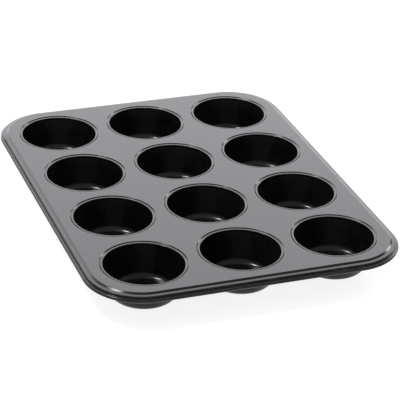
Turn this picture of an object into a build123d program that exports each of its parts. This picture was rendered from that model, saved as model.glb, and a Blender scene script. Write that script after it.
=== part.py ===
from build123d import *
import math
import os

# Twelve-cup muffin tin, millimetres.
# X runs across the three columns of cups, Y along the four rows, +Z up.
# The origin is in the middle of the tin, on the plane that the cups stand on.

# Layout
tin_width = 284.0             # X, over the rolled rim
tin_length = 371.0            # Y, over the rolled rim
tin_height = 30.3             # from the surface it stands on to the top of the deck
corner_radius = 50.0          # plan radius of the outside of the rim
cup_pitch = 87.0              # between cup centres, along both X and Y
column_names = ("left", "middle", "right")
row_count = 4                 # row 1 is the front one, at -Y

# Sheet metal and rim wire
deck_sheet = 0.6
cup_sheet = 0.5
wire_radius = 0.95
fit_gap = 0.02                # between two pieces that are pressed together

# Rim: inset from the outside of the tin, and depth below the deck's top
step_top_inset = 7.9
step_foot_inset = 5.9
step_foot_depth = 1.2
ledge_edge_inset = 2.8
ledge_edge_depth = 1.55
wall_foot_inset = 3.0
bead_depth = 5.1              # to the centre of the wire
bead_start_angle = 108.0      # where the sheet meets the wire, from +X
bead_wrap_angle = 280.0       # how far the sheet is rolled round the wire
step_bend = 0.9
ledge_bend = 0.7
wall_foot_bend = 0.62
rim_flat = 4.0                # flat deck that belongs to the rim's section

# Seat pressed into the deck round each hole, where a cup's lip lies
seat_top_radius = 38.2
seat_floor_radius = 37.1
seat_depth = 1.0
seat_bend = 0.75
seat_flat = 2.0               # flat deck that belongs to the seat's section
hole_radius = 35.85

# Cup: it hangs on its lip, and its wall is swaged out under the deck, wider than the hole
lip_radius = 36.7
mouth_radius = 34.95
mouth_bend = 0.65
neck_depth = 0.98             # below the lip, where the wall turns out under the deck
neck_bend = 0.5
shoulder_radius = 35.75       # corner of the swaged shoulder before it is rounded
shoulder_depth = 1.78
shoulder_bend = 0.8
base_radius = 28.0            # where the line of the wall meets the base
base_bend = 6.5
emboss_radius = 18.0          # the middle of the base is pressed up
emboss_height = 0.4
emboss_bend = 0.8

# Derived
bead_radius = wire_radius + deck_sheet
lip_top = tin_height - seat_depth + cup_sheet + fit_gap
plate_inset = step_top_inset + rim_flat
seat_reach = seat_top_radius + seat_flat


def upright_plane(x, y):
    """Plane through a cup's axis: its own x runs along +X and its own y up."""
    return Plane(origin=(x, y, 0), x_dir=(1, 0, 0), z_dir=(0, -1, 0))


def upright_axis(x, y):
    """Axis of the cup centred at x, y."""
    return Axis(origin=(x, y, 0), direction=(0, 0, 1))


def cup_centre(column, row):
    """Centre of a cup, counting columns from -X and rows from -Y."""
    x = (column - (len(column_names) - 1) / 2) * cup_pitch
    y = (row - (row_count - 1) / 2) * cup_pitch
    return x, y


# Deck: one sheet with a seated hole for each cup. At the rim it steps down to a narrow
# ledge, drops again and is rolled round the wire.
bead_centre = (tin_width / 2 - bead_radius, tin_height - bead_depth)
start_angle = math.radians(bead_start_angle)
bead_start = (
    bead_centre[0] + bead_radius * math.cos(start_angle),
    bead_centre[1] + bead_radius * math.sin(start_angle),
)
wall_foot_x = tin_width / 2 - wall_foot_inset
wall_foot_z = bead_start[1] + (bead_start[0] - wall_foot_x) / math.tan(start_angle)

with BuildSketch() as bead_outline:
    RectangleRounded(
        tin_width - 2 * bead_radius,
        tin_length - 2 * bead_radius,
        corner_radius - bead_radius,
    )

with BuildPart() as deck:
    with BuildSketch(Plane.XY.offset(tin_height - deck_sheet)):
        RectangleRounded(
            tin_width - 2 * plate_inset,
            tin_length - 2 * plate_inset,
            corner_radius - plate_inset,
        )
        with GridLocations(cup_pitch, cup_pitch, len(column_names), row_count):
            Circle(seat_reach, mode=Mode.SUBTRACT)
    extrude(amount=deck_sheet)
    with BuildSketch(upright_plane(0, 0)) as rim_section:
        with BuildLine():
            FilletPolyline(
                (tin_width / 2 - plate_inset, tin_height),
                (tin_width / 2 - step_top_inset, tin_height),
                (tin_width / 2 - step_foot_inset, tin_height - step_foot_depth),
                (tin_width / 2 - ledge_edge_inset, tin_height - ledge_edge_depth),
                (wall_foot_x, wall_foot_z),
                bead_start,
                radius=[step_bend, step_bend, ledge_bend, wall_foot_bend],
            )
            CenterArc(bead_centre, bead_radius, bead_start_angle, -bead_wrap_angle)
            offset(amount=deck_sheet, side=Side.LEFT)
        make_face()
    sweep(path=bead_outline.wire())
    for row in range(row_count):
        for column in range(len(column_names)):
            x, y = cup_centre(column, row)
            with BuildSketch(upright_plane(x, y)):
                with BuildLine():
                    FilletPolyline(
                        (seat_reach, tin_height),
                        (seat_top_radius, tin_height),
                        (seat_floor_radius, tin_height - seat_depth),
                        (hole_radius, tin_height - seat_depth),
                        radius=seat_bend,
                    )
                    offset(amount=deck_sheet, side=Side.LEFT)
                make_face()
            revolve(axis=upright_axis(x, y))

# Rim wire: one closed hoop inside the rolled edge
with BuildPart() as rim_wire:
    with BuildSketch(upright_plane(0, 0)):
        with Locations(bead_centre):
            Circle(wire_radius - fit_gap)
    sweep(path=bead_outline.wire())


def make_cup(x, y):
    """Drawn cup: lip, swaged shoulder, tapered wall and a base with its middle pressed up."""
    with BuildPart() as cup:
        with BuildSketch(upright_plane(x, y)):
            with BuildLine():
                FilletPolyline(
                    (lip_radius, lip_top),
                    (mouth_radius, lip_top),
                    (mouth_radius, lip_top - neck_depth),
                    (shoulder_radius, lip_top - shoulder_depth),
                    (base_radius, cup_sheet),
                    (emboss_radius + emboss_height, cup_sheet),
                    (emboss_radius, cup_sheet + emboss_height),
                    (0, cup_sheet + emboss_height),
                    radius=[
                        mouth_bend,
                        neck_bend,
                        shoulder_bend,
                        base_bend,
                        emboss_bend,
                        emboss_bend,
                    ],
                )
                offset(amount=cup_sheet, side=Side.LEFT)
            make_face()
        revolve(axis=upright_axis(x, y))
    return cup.part


cups = {}
for row in range(row_count):
    for column, column_name in enumerate(column_names):
        name = f"cup_row_{row + 1}_{column_name}"
        cups[name] = make_cup(*cup_centre(column, row))

os.makedirs("parts", exist_ok=True)
deck.part.label = "deck"
export_step(deck.part, "parts/deck.step")
rim_wire.part.label = "rim_wire"
export_step(rim_wire.part, "parts/rim_wire.step")
for name, cup in cups.items():
    cup.label = name
    export_step(cup, f"parts/{name}.step")
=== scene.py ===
"""Muffin tin: non-stick coating, floor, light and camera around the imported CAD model.

Every length is in metres unless its name says millimetres, in the frame of the CAD model.
"""

import math

import bpy
from mathutils import Matrix, Vector


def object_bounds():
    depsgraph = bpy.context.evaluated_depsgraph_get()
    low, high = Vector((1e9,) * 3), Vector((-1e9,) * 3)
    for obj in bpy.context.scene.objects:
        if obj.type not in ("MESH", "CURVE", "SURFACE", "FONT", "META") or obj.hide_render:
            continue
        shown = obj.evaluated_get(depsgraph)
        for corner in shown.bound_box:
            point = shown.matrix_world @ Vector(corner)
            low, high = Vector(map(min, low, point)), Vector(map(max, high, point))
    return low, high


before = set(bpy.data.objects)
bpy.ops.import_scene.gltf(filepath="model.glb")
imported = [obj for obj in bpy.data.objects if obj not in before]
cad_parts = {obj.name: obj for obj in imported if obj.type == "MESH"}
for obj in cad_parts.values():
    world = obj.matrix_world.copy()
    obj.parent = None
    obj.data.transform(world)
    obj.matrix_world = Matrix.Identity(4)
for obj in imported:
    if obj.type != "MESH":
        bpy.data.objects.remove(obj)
cad_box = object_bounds()

# Camera
CAMERA_AZIMUTH = math.radians(-20.8)
CAMERA_ELEVATION = math.radians(27.77)
CAMERA_ROLL = math.radians(2.27)
CAMERA_TARGET = Vector((-0.00307, -0.03613, 0.0299))
CAMERA_DISTANCE = 1.624
CAMERA_LENS = 162.8
SENSOR_WIDTH = 36.0

# Stage: a lit white table in a dim surround, a little brighter behind and overhead
FLOOR_SIZE = 12.0
FLOOR_DROP = 0.0002
FLOOR_TONE = 0.32
FLOOR_GLOW = 0.87
FLOOR_ROUGHNESS = 0.9
FRONT_LIGHT = 0.2
BACK_LIGHT = 0.35
OVERHEAD_LIGHT = 0.5
BACK_EDGE = 0.4               # how far to the back the surround is at its full back light
COVE_EDGE = 0.35              # sines of the elevations where the cove ends and the ceiling starts
OVERHEAD_EDGE = 0.65

# Lamps: name, azimuth and elevation in degrees, distance, width and height, radiance, tint
LAMPS = (
    ("back_softbox", 15.0, 31.0, 2.15, (3.4, 2.3), 3.05, (1.0, 0.97, 1.02)),
    ("top_lamp", -68.0, 65.0, 2.3, (0.4, 0.4), 45.0, (1.0, 1.0, 1.0)),
    ("right_strip", 70.0, 27.0, 2.0, (0.3, 0.7), 12.0, (1.0, 1.0, 1.0)),
)

# The tin, from its plan
CORNER_RADIUS = 0.050
CUP_PITCH = 0.087
CUP_WALL_TOP = 0.0285
CUP_WALL_FOOT = 0.0050
CUP_WALL_BLEND = 0.003
CUP_WALL_RADIUS = 0.035
LIP_UNDERSIDE = 0.0283
LIP_TOP = 0.0288

# Coating
COATING_IOR = 1.38            # fluoropolymer
COATING_ROUGHNESS = 0.21
DARK_TONE = (0.0022, 0.0021, 0.0023)
PALE_TONE = (0.0055, 0.0053, 0.0057)
FLAKE_TONE = (0.026, 0.025, 0.027)
RUBBED_TONE = (0.030, 0.029, 0.028)
STEEL_TONE = (0.42, 0.41, 0.40)

# Rubbed edges: where the edge lies, half the width of the rubbed band, and how far it is rubbed.
# The place is an inset from the tin's outline for the rim, and a radius for the cups.
BEAD_EDGE = (0.0006, 0.0011, 0.8)
LEDGE_EDGE = (0.0029, 0.0007, 0.6)
STEP_EDGE = (0.0079, 0.0009, 0.5)
SEAT_EDGE = (0.0380, 0.0006, 0.4)
MOUTH_EDGE = (0.0350, 0.0009, 0.55)
LIP_EDGE = (0.0367, 0.0005, 0.5)
STANDING_RUBBED = 0.9
STANDING_LOW = 0.00005
STANDING_HIGH = 0.00035
EVEN_WEAR = 0.25
GRAIN_IN_WEAR = 0.3
DECK_WEAR = (0.45, 0.8)       # from where to where the uneven part grows
CUP_WEAR = (0.4, 0.75)
DECK_NICKS = (0.79, 0.82)     # the higher, the fewer
CUP_NICKS = (0.66, 0.70)

# Texture of the coating: sizes in plan, then depths of relief, then changes of roughness
CLOUD_SIZE = 0.045
PATCH_SIZE = 0.008
PEEL_SIZE = 0.0014
GRAIN_SIZE = 0.0003
FLAKE_SIZE = 0.0005
FLAKE_SHARE = 0.35
FLAKE_STRENGTH = 0.6
NICK_SIZE = 0.0016
ROLLING_SIZE = 0.0009
DRAWING_SIZE = 0.0011
SPINNING_SIZE = 0.0008
CLOUD_DEPTH = 0.00012
PEEL_DEPTH = 0.000006
GRAIN_DEPTH = 0.0000015
ROLLING_DEPTH = 0.000002
FORMING_DEPTH = 0.000004
CLOUD_ROUGHENS = 0.03
PATCH_ROUGHENS = 0.025
GRAIN_ROUGHENS = 0.03
ROLLING_ROUGHENS = 0.012
FORMING_ROUGHENS = 0.03
WEAR_SMOOTHS = 0.07
CLOUD_IN_TONE = 0.6
TONE_RANGE = (0.38, 0.62)
NOISE_RANGE = (0.3, 0.7)      # what counts as the low and the high end of a noise
ROLLING_SQUEEZE = 0.04        # lines run along Y
DRAWING_SQUEEZE = 0.08        # lines run up the wall
DRAWING_CLIMB = 1.2

# Wire: dark and light ends of its tone, and its texture
WIRE_DARK = (0.34, 0.33, 0.32)
WIRE_LIGHT = (0.52, 0.51, 0.50)
WIRE_BLOOM_SIZE = 0.006
WIRE_LINE_SIZE = 0.0002
WIRE_LINE_DEPTH = 0.000003
WIRE_ROUGHNESS = (0.26, 0.42)


class Graph:
    """A material's node tree, with short ways to add and link nodes."""

    def __init__(self, name):
        self.material = bpy.data.materials.new(name)
        self.material.use_nodes = True
        self.nodes = self.material.node_tree.nodes
        self.links = self.material.node_tree.links
        self.shader = self.nodes["Principled BSDF"]

    def feed(self, socket, value):
        """Link a socket to another one, or give it a constant."""
        if isinstance(value, bpy.types.NodeSocket):
            self.links.new(value, socket)
        else:
            socket.default_value = value

    def math(self, operation, first, second=0.0, third=0.0):
        node = self.nodes.new("ShaderNodeMath")
        node.operation = operation
        for socket, value in zip(node.inputs, (first, second, third)):
            self.feed(socket, value)
        return node.outputs[0]

    def vector(self, operation, first, second=None):
        node = self.nodes.new("ShaderNodeVectorMath")
        node.operation = operation
        self.feed(node.inputs[0], first)
        if second is not None:
            self.feed(node.inputs[1], second)
        return node.outputs["Value" if operation == "LENGTH" else "Vector"]

    def fade(self, value, start, end, low=0.0, high=1.0):
        """Smooth passage from low at start to high at end."""
        node = self.nodes.new("ShaderNodeMapRange")
        node.interpolation_type = "SMOOTHSTEP"
        for socket, entry in zip(node.inputs, (value, start, end, low, high)):
            self.feed(socket, entry)
        return node.outputs["Result"]

    def band(self, value, centre, half_width):
        """1 at centre, fading to 0 at half_width either side."""
        away = self.math("ABSOLUTE", self.math("SUBTRACT", value, centre))
        return self.fade(away, 0.0, half_width, 1.0, 0.0)

    def swing(self, noise, amount):
        """From -amount to amount as a noise goes from its low end to its high end."""
        return self.fade(noise, *NOISE_RANGE, -amount, amount)

    def edge(self, measure, edge):
        """How far an edge is rubbed where measure is near it."""
        place, half_width, rubbed_by = edge
        return self.math("MULTIPLY", self.band(measure, place, half_width), rubbed_by)

    def noise(self, vector, size, detail=2.0, rough=0.5):
        """Noise between 0 and 1 whose features are about size across."""
        node = self.nodes.new("ShaderNodeTexNoise")
        self.feed(node.inputs["Vector"], vector)
        node.inputs["Scale"].default_value = 1.0 / size
        node.inputs["Detail"].default_value = detail
        node.inputs["Roughness"].default_value = rough
        return node.outputs["Fac"]

    def flakes(self, vector, size, share):
        """Small specks, one per cell of this size, bright in a share of the cells."""
        node = self.nodes.new("ShaderNodeTexVoronoi")
        self.feed(node.inputs["Vector"], vector)
        node.inputs["Scale"].default_value = 1.0 / size
        split = self.nodes.new("ShaderNodeSeparateColor")
        self.feed(split.inputs["Color"], node.outputs["Color"])
        chosen = self.math("GREATER_THAN", split.outputs["Red"], 1.0 - share)
        near = self.fade(node.outputs["Distance"], 0.15, 0.45, 1.0, 0.0)
        return self.math("MULTIPLY", chosen, near)

    def blend(self, amount, first, second):
        """Colour between first and second."""
        node = self.nodes.new("ShaderNodeMix")
        node.data_type = "RGBA"
        self.feed(node.inputs["Factor"], amount)
        for socket, value in zip((node.inputs["A"], node.inputs["B"]), (first, second)):
            linked = isinstance(value, bpy.types.NodeSocket)
            self.feed(socket, value if linked else (*value, 1.0))
        return node.outputs["Result"]

    def total(self, *values):
        """Sum of several sockets."""
        result = values[0]
        for value in values[1:]:
            result = self.math("ADD", result, value)
        return result

    def bump(self, height, depth, normal=None):
        """Normal from a height of 0 to 1 that stands for depth metres."""
        node = self.nodes.new("ShaderNodeBump")
        node.inputs["Strength"].default_value = 1.0
        node.inputs["Distance"].default_value = depth
        self.feed(node.inputs["Height"], height)
        if normal is not None:
            self.feed(node.inputs["Normal"], normal)
        return node.outputs["Normal"]


def tin_inset(graph, place):
    """How far inside the tin's outline a point lies, in plan."""
    low, high = cad_box
    straight = Vector((high[0] - CORNER_RADIUS, high[1] - CORNER_RADIUS, 1.0))
    beyond = graph.vector("SUBTRACT", graph.vector("ABSOLUTE", place), straight)
    outside = graph.vector("MAXIMUM", beyond, (0.0, 0.0, 0.0))
    return graph.math("SUBTRACT", CORNER_RADIUS, graph.vector("LENGTH", outside))


def cup_spokes(graph, place):
    """Vector in plan from the nearest cup's axis, and the height above the table."""
    split = graph.nodes.new("ShaderNodeSeparateXYZ")
    graph.feed(split.inputs[0], place)
    half = CUP_PITCH / 2
    across = graph.math("WRAP", split.outputs["X"], half, -half)
    along = graph.math("WRAP", graph.math("ADD", split.outputs["Y"], half), half, -half)
    join = graph.nodes.new("ShaderNodeCombineXYZ")
    graph.feed(join.inputs["X"], across)
    graph.feed(join.inputs["Y"], along)
    return join.outputs[0], split.outputs["Z"]


def coating(name, marks):
    """Dark satin non-stick coating; marks adds what the pressing and the use leave on it."""
    graph = Graph(name)
    texture = graph.nodes.new("ShaderNodeTexCoord")
    place = texture.outputs["Object"]
    cloud = graph.noise(place, CLOUD_SIZE, 2.0)
    patch = graph.noise(place, PATCH_SIZE, 3.0)
    peel = graph.noise(place, PEEL_SIZE, 2.0)
    grain = graph.noise(place, GRAIN_SIZE, 1.0)
    flake = graph.flakes(place, FLAKE_SIZE, FLAKE_SHARE)
    worn, chipped, rougher, relief, relief_depth = marks(graph, place, patch, grain)

    mixed = graph.math(
        "ADD",
        graph.math("MULTIPLY", cloud, CLOUD_IN_TONE),
        graph.math("MULTIPLY", patch, 1.0 - CLOUD_IN_TONE),
    )
    tone = graph.blend(graph.fade(mixed, *TONE_RANGE), DARK_TONE, PALE_TONE)
    tone = graph.blend(graph.math("MULTIPLY", flake, FLAKE_STRENGTH), tone, FLAKE_TONE)
    tone = graph.blend(worn, tone, RUBBED_TONE)
    tone = graph.blend(chipped, tone, STEEL_TONE)
    graph.feed(graph.shader.inputs["Base Color"], tone)
    graph.feed(graph.shader.inputs["Metallic"], chipped)

    roughness = graph.total(
        graph.math("ADD", COATING_ROUGHNESS, graph.swing(cloud, CLOUD_ROUGHENS)),
        graph.swing(patch, PATCH_ROUGHENS),
        graph.swing(grain, GRAIN_ROUGHENS),
        graph.math("MULTIPLY", worn, -WEAR_SMOOTHS),
        rougher,
    )
    graph.feed(graph.shader.inputs["Roughness"], roughness)
    graph.shader.inputs["IOR"].default_value = COATING_IOR

    normal = graph.bump(cloud, CLOUD_DEPTH)
    normal = graph.bump(relief, relief_depth, normal)
    normal = graph.bump(peel, PEEL_DEPTH, normal)
    normal = graph.bump(grain, GRAIN_DEPTH, normal)
    graph.feed(graph.shader.inputs["Normal"], normal)
    return graph.material


def rubbed(graph, edges, patch, grain, wear):
    """Edges rubbed a little all along, and more where patch and grain are high."""
    uneven = graph.math("ADD", patch, graph.math("MULTIPLY", grain, GRAIN_IN_WEAR))
    patchy = graph.math("MULTIPLY", graph.fade(uneven, *wear), 1.0 - EVEN_WEAR)
    return graph.math("MULTIPLY", edges, graph.math("ADD", EVEN_WEAR, patchy))


def deck_marks(graph, place, patch, grain):
    """Edges rubbed thin along the rim and round the seats, and the sheet's rolling lines."""
    inset = tin_inset(graph, place)
    spokes = cup_spokes(graph, place)[0]
    radius = graph.vector("LENGTH", spokes)
    edges = graph.total(
        graph.edge(inset, BEAD_EDGE),
        graph.edge(inset, LEDGE_EDGE),
        graph.edge(inset, STEP_EDGE),
        graph.edge(radius, SEAT_EDGE),
    )
    worn = rubbed(graph, edges, patch, grain, DECK_WEAR)
    nicks = graph.fade(graph.noise(place, NICK_SIZE, 1.0), *DECK_NICKS)
    chipped = graph.math("MULTIPLY", graph.band(inset, *BEAD_EDGE[:2]), nicks)
    stretched = graph.vector("MULTIPLY", place, (1.0, ROLLING_SQUEEZE, 1.0))
    rolled = graph.noise(stretched, ROLLING_SIZE, 2.0)
    rougher = graph.swing(rolled, ROLLING_ROUGHENS)
    return worn, chipped, rougher, rolled, ROLLING_DEPTH


def cup_marks(graph, place, patch, grain):
    """Draw marks up the wall, spin rings on the base, rubbed mouth, lip and standing ring."""
    spokes, height = cup_spokes(graph, place)
    radius = graph.vector("LENGTH", spokes)
    high_up = graph.fade(height, LIP_UNDERSIDE, LIP_TOP)
    stands = graph.fade(height, STANDING_HIGH, STANDING_LOW)
    edges = graph.total(
        graph.math("MULTIPLY", graph.edge(radius, MOUTH_EDGE), high_up),
        graph.math("MULTIPLY", graph.edge(radius, LIP_EDGE), high_up),
        graph.math("MULTIPLY", stands, STANDING_RUBBED),
    )
    worn = rubbed(graph, edges, patch, grain, CUP_WEAR)
    nicks = graph.fade(graph.noise(place, NICK_SIZE, 1.0), *CUP_NICKS)
    chipped = graph.math("MULTIPLY", stands, nicks)

    on_wall = graph.math(
        "MULTIPLY",
        graph.fade(height, CUP_WALL_FOOT, CUP_WALL_FOOT + CUP_WALL_BLEND),
        graph.fade(height, CUP_WALL_TOP, CUP_WALL_TOP - CUP_WALL_BLEND),
    )
    direction = graph.vector("NORMALIZE", spokes)
    lift = graph.nodes.new("ShaderNodeCombineXYZ")
    graph.feed(lift.inputs["Z"], graph.math("MULTIPLY", height, DRAWING_CLIMB))
    around = graph.vector("MULTIPLY", direction, (CUP_WALL_RADIUS, CUP_WALL_RADIUS, 0.0))
    drawn_at = graph.vector("ADD", around, lift.outputs[0])
    stretched = graph.vector("MULTIPLY", drawn_at, (1.0, 1.0, DRAWING_SQUEEZE))
    drawn = graph.noise(stretched, DRAWING_SIZE, 2.0)
    ring_at = graph.nodes.new("ShaderNodeCombineXYZ")
    graph.feed(ring_at.inputs["X"], radius)
    spun = graph.noise(ring_at.outputs[0], SPINNING_SIZE, 2.0)
    mix = graph.nodes.new("ShaderNodeMix")
    graph.feed(mix.inputs["Factor"], on_wall)
    graph.feed(mix.inputs["A"], spun)
    graph.feed(mix.inputs["B"], drawn)
    relief = mix.outputs["Result"]
    rougher = graph.swing(relief, FORMING_ROUGHENS)
    return worn, chipped, rougher, relief, FORMING_DEPTH


def wire_steel(name):
    """Bright drawn wire, with fine lines along it and a dull tin bloom."""
    graph = Graph(name)
    place = graph.nodes.new("ShaderNodeTexCoord").outputs["Object"]
    bloom = graph.noise(place, WIRE_BLOOM_SIZE, 3.0)
    lines = graph.noise(place, WIRE_LINE_SIZE, 2.0)
    graph.feed(graph.shader.inputs["Base Color"], graph.blend(bloom, WIRE_DARK, WIRE_LIGHT))
    graph.feed(graph.shader.inputs["Roughness"], graph.fade(lines, *NOISE_RANGE, *WIRE_ROUGHNESS))
    graph.shader.inputs["Metallic"].default_value = 1.0
    graph.feed(graph.shader.inputs["Normal"], graph.bump(lines, WIRE_LINE_DEPTH))
    return graph.material


def add_camera():
    """Long lens looking down at the tin from its front left."""
    camera_data = bpy.data.cameras.new("camera")
    camera_data.lens = CAMERA_LENS
    camera_data.sensor_width = SENSOR_WIDTH
    camera_data.clip_end = 100.0
    camera = bpy.data.objects.new("camera", camera_data)
    bpy.context.scene.collection.objects.link(camera)
    bpy.context.scene.camera = camera
    azimuth, elevation, roll = CAMERA_AZIMUTH, CAMERA_ELEVATION, CAMERA_ROLL
    forward = Vector(
        (
            -math.sin(azimuth) * math.cos(elevation),
            math.cos(azimuth) * math.cos(elevation),
            -math.sin(elevation),
        )
    )
    level_right = Vector((math.cos(azimuth), math.sin(azimuth), 0.0))
    level_up = level_right.cross(forward)
    right = math.cos(roll) * level_right + math.sin(roll) * level_up
    up = math.cos(roll) * level_up - math.sin(roll) * level_right
    turn = Matrix((right, up, -forward)).transposed().to_4x4()
    camera.matrix_world = Matrix.Translation(CAMERA_TARGET - forward * CAMERA_DISTANCE) @ turn


def add_area_light(name, azimuth, elevation, distance, size, radiance, tint):
    """Rectangular softbox facing the tin. Azimuth runs from the back, +Y, towards +X."""
    width, height = size
    light_data = bpy.data.lights.new(name, "AREA")
    light_data.shape = "RECTANGLE"
    light_data.size, light_data.size_y = width, height
    light_data.energy = radiance * math.pi * width * height
    light_data.color = tint
    light = bpy.data.objects.new(name, light_data)
    bpy.context.scene.collection.objects.link(light)
    azimuth, elevation = math.radians(azimuth), math.radians(elevation)
    away = Vector(
        (
            math.sin(azimuth) * math.cos(elevation),
            math.cos(azimuth) * math.cos(elevation),
            math.sin(elevation),
        )
    )
    light.location = away * distance
    light.rotation_euler = (-away).to_track_quat("-Z", "Y").to_euler()


def add_floor():
    """Plain pale table, lit a little from inside so that it stays white round the tin."""
    mesh = bpy.data.meshes.new("floor")
    half = FLOOR_SIZE / 2
    corners = [(-half, -half, 0), (half, -half, 0), (half, half, 0), (-half, half, 0)]
    mesh.from_pydata(corners, [], [(0, 1, 2, 3)])
    floor = bpy.data.objects.new("floor", mesh)
    bpy.context.scene.collection.objects.link(floor)
    floor.location.z = -FLOOR_DROP
    graph = Graph("floor")
    graph.shader.inputs["Base Color"].default_value = (FLOOR_TONE, FLOOR_TONE, FLOOR_TONE, 1.0)
    graph.shader.inputs["Roughness"].default_value = FLOOR_ROUGHNESS
    graph.shader.inputs["Emission Color"].default_value = (1.0, 1.0, 1.0, 1.0)
    graph.shader.inputs["Emission Strength"].default_value = FLOOR_GLOW
    mesh.materials.append(graph.material)


def add_world():
    """Dim surround: darkest on the camera's side, brighter behind the tin and overhead."""
    world = bpy.data.worlds.new("studio")
    world.use_nodes = True
    nodes, links = world.node_tree.nodes, world.node_tree.links
    background = nodes["Background"]
    direction = nodes.new("ShaderNodeTexCoord")
    split = nodes.new("ShaderNodeSeparateXYZ")
    links.new(direction.outputs["Generated"], split.inputs["Vector"])
    behind = nodes.new("ShaderNodeMapRange")
    above = nodes.new("ShaderNodeMapRange")
    links.new(split.outputs["Y"], behind.inputs["Value"])
    links.new(split.outputs["Z"], above.inputs["Value"])
    links.new(behind.outputs["Result"], above.inputs["To Min"])
    settings = (
        (behind, -BACK_EDGE, BACK_EDGE, FRONT_LIGHT, BACK_LIGHT),
        (above, COVE_EDGE, OVERHEAD_EDGE, None, OVERHEAD_LIGHT),
    )
    for node, start, end, low, high in settings:
        node.interpolation_type = "SMOOTHSTEP"
        node.inputs["From Min"].default_value = start
        node.inputs["From Max"].default_value = end
        if low is not None:
            node.inputs["To Min"].default_value = low
        node.inputs["To Max"].default_value = high
    links.new(above.outputs["Result"], background.inputs["Strength"])
    background.inputs["Color"].default_value = (1.0, 1.0, 1.0, 1.0)
    bpy.context.scene.world = world


deck_material = coating("deck_coating", deck_marks)
cup_material = coating("cup_coating", cup_marks)
wire_material = wire_steel("steel_wire")
for name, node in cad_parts.items():
    if name == "rim_wire":
        chosen = wire_material
    elif name == "deck":
        chosen = deck_material
    else:
        chosen = cup_material
    node.data.materials.clear()
    node.data.materials.append(chosen)

add_camera()
add_floor()
add_world()
for lamp in LAMPS:
    add_area_light(*lamp)
bpy.context.scene.view_settings.view_transform = "Standard"
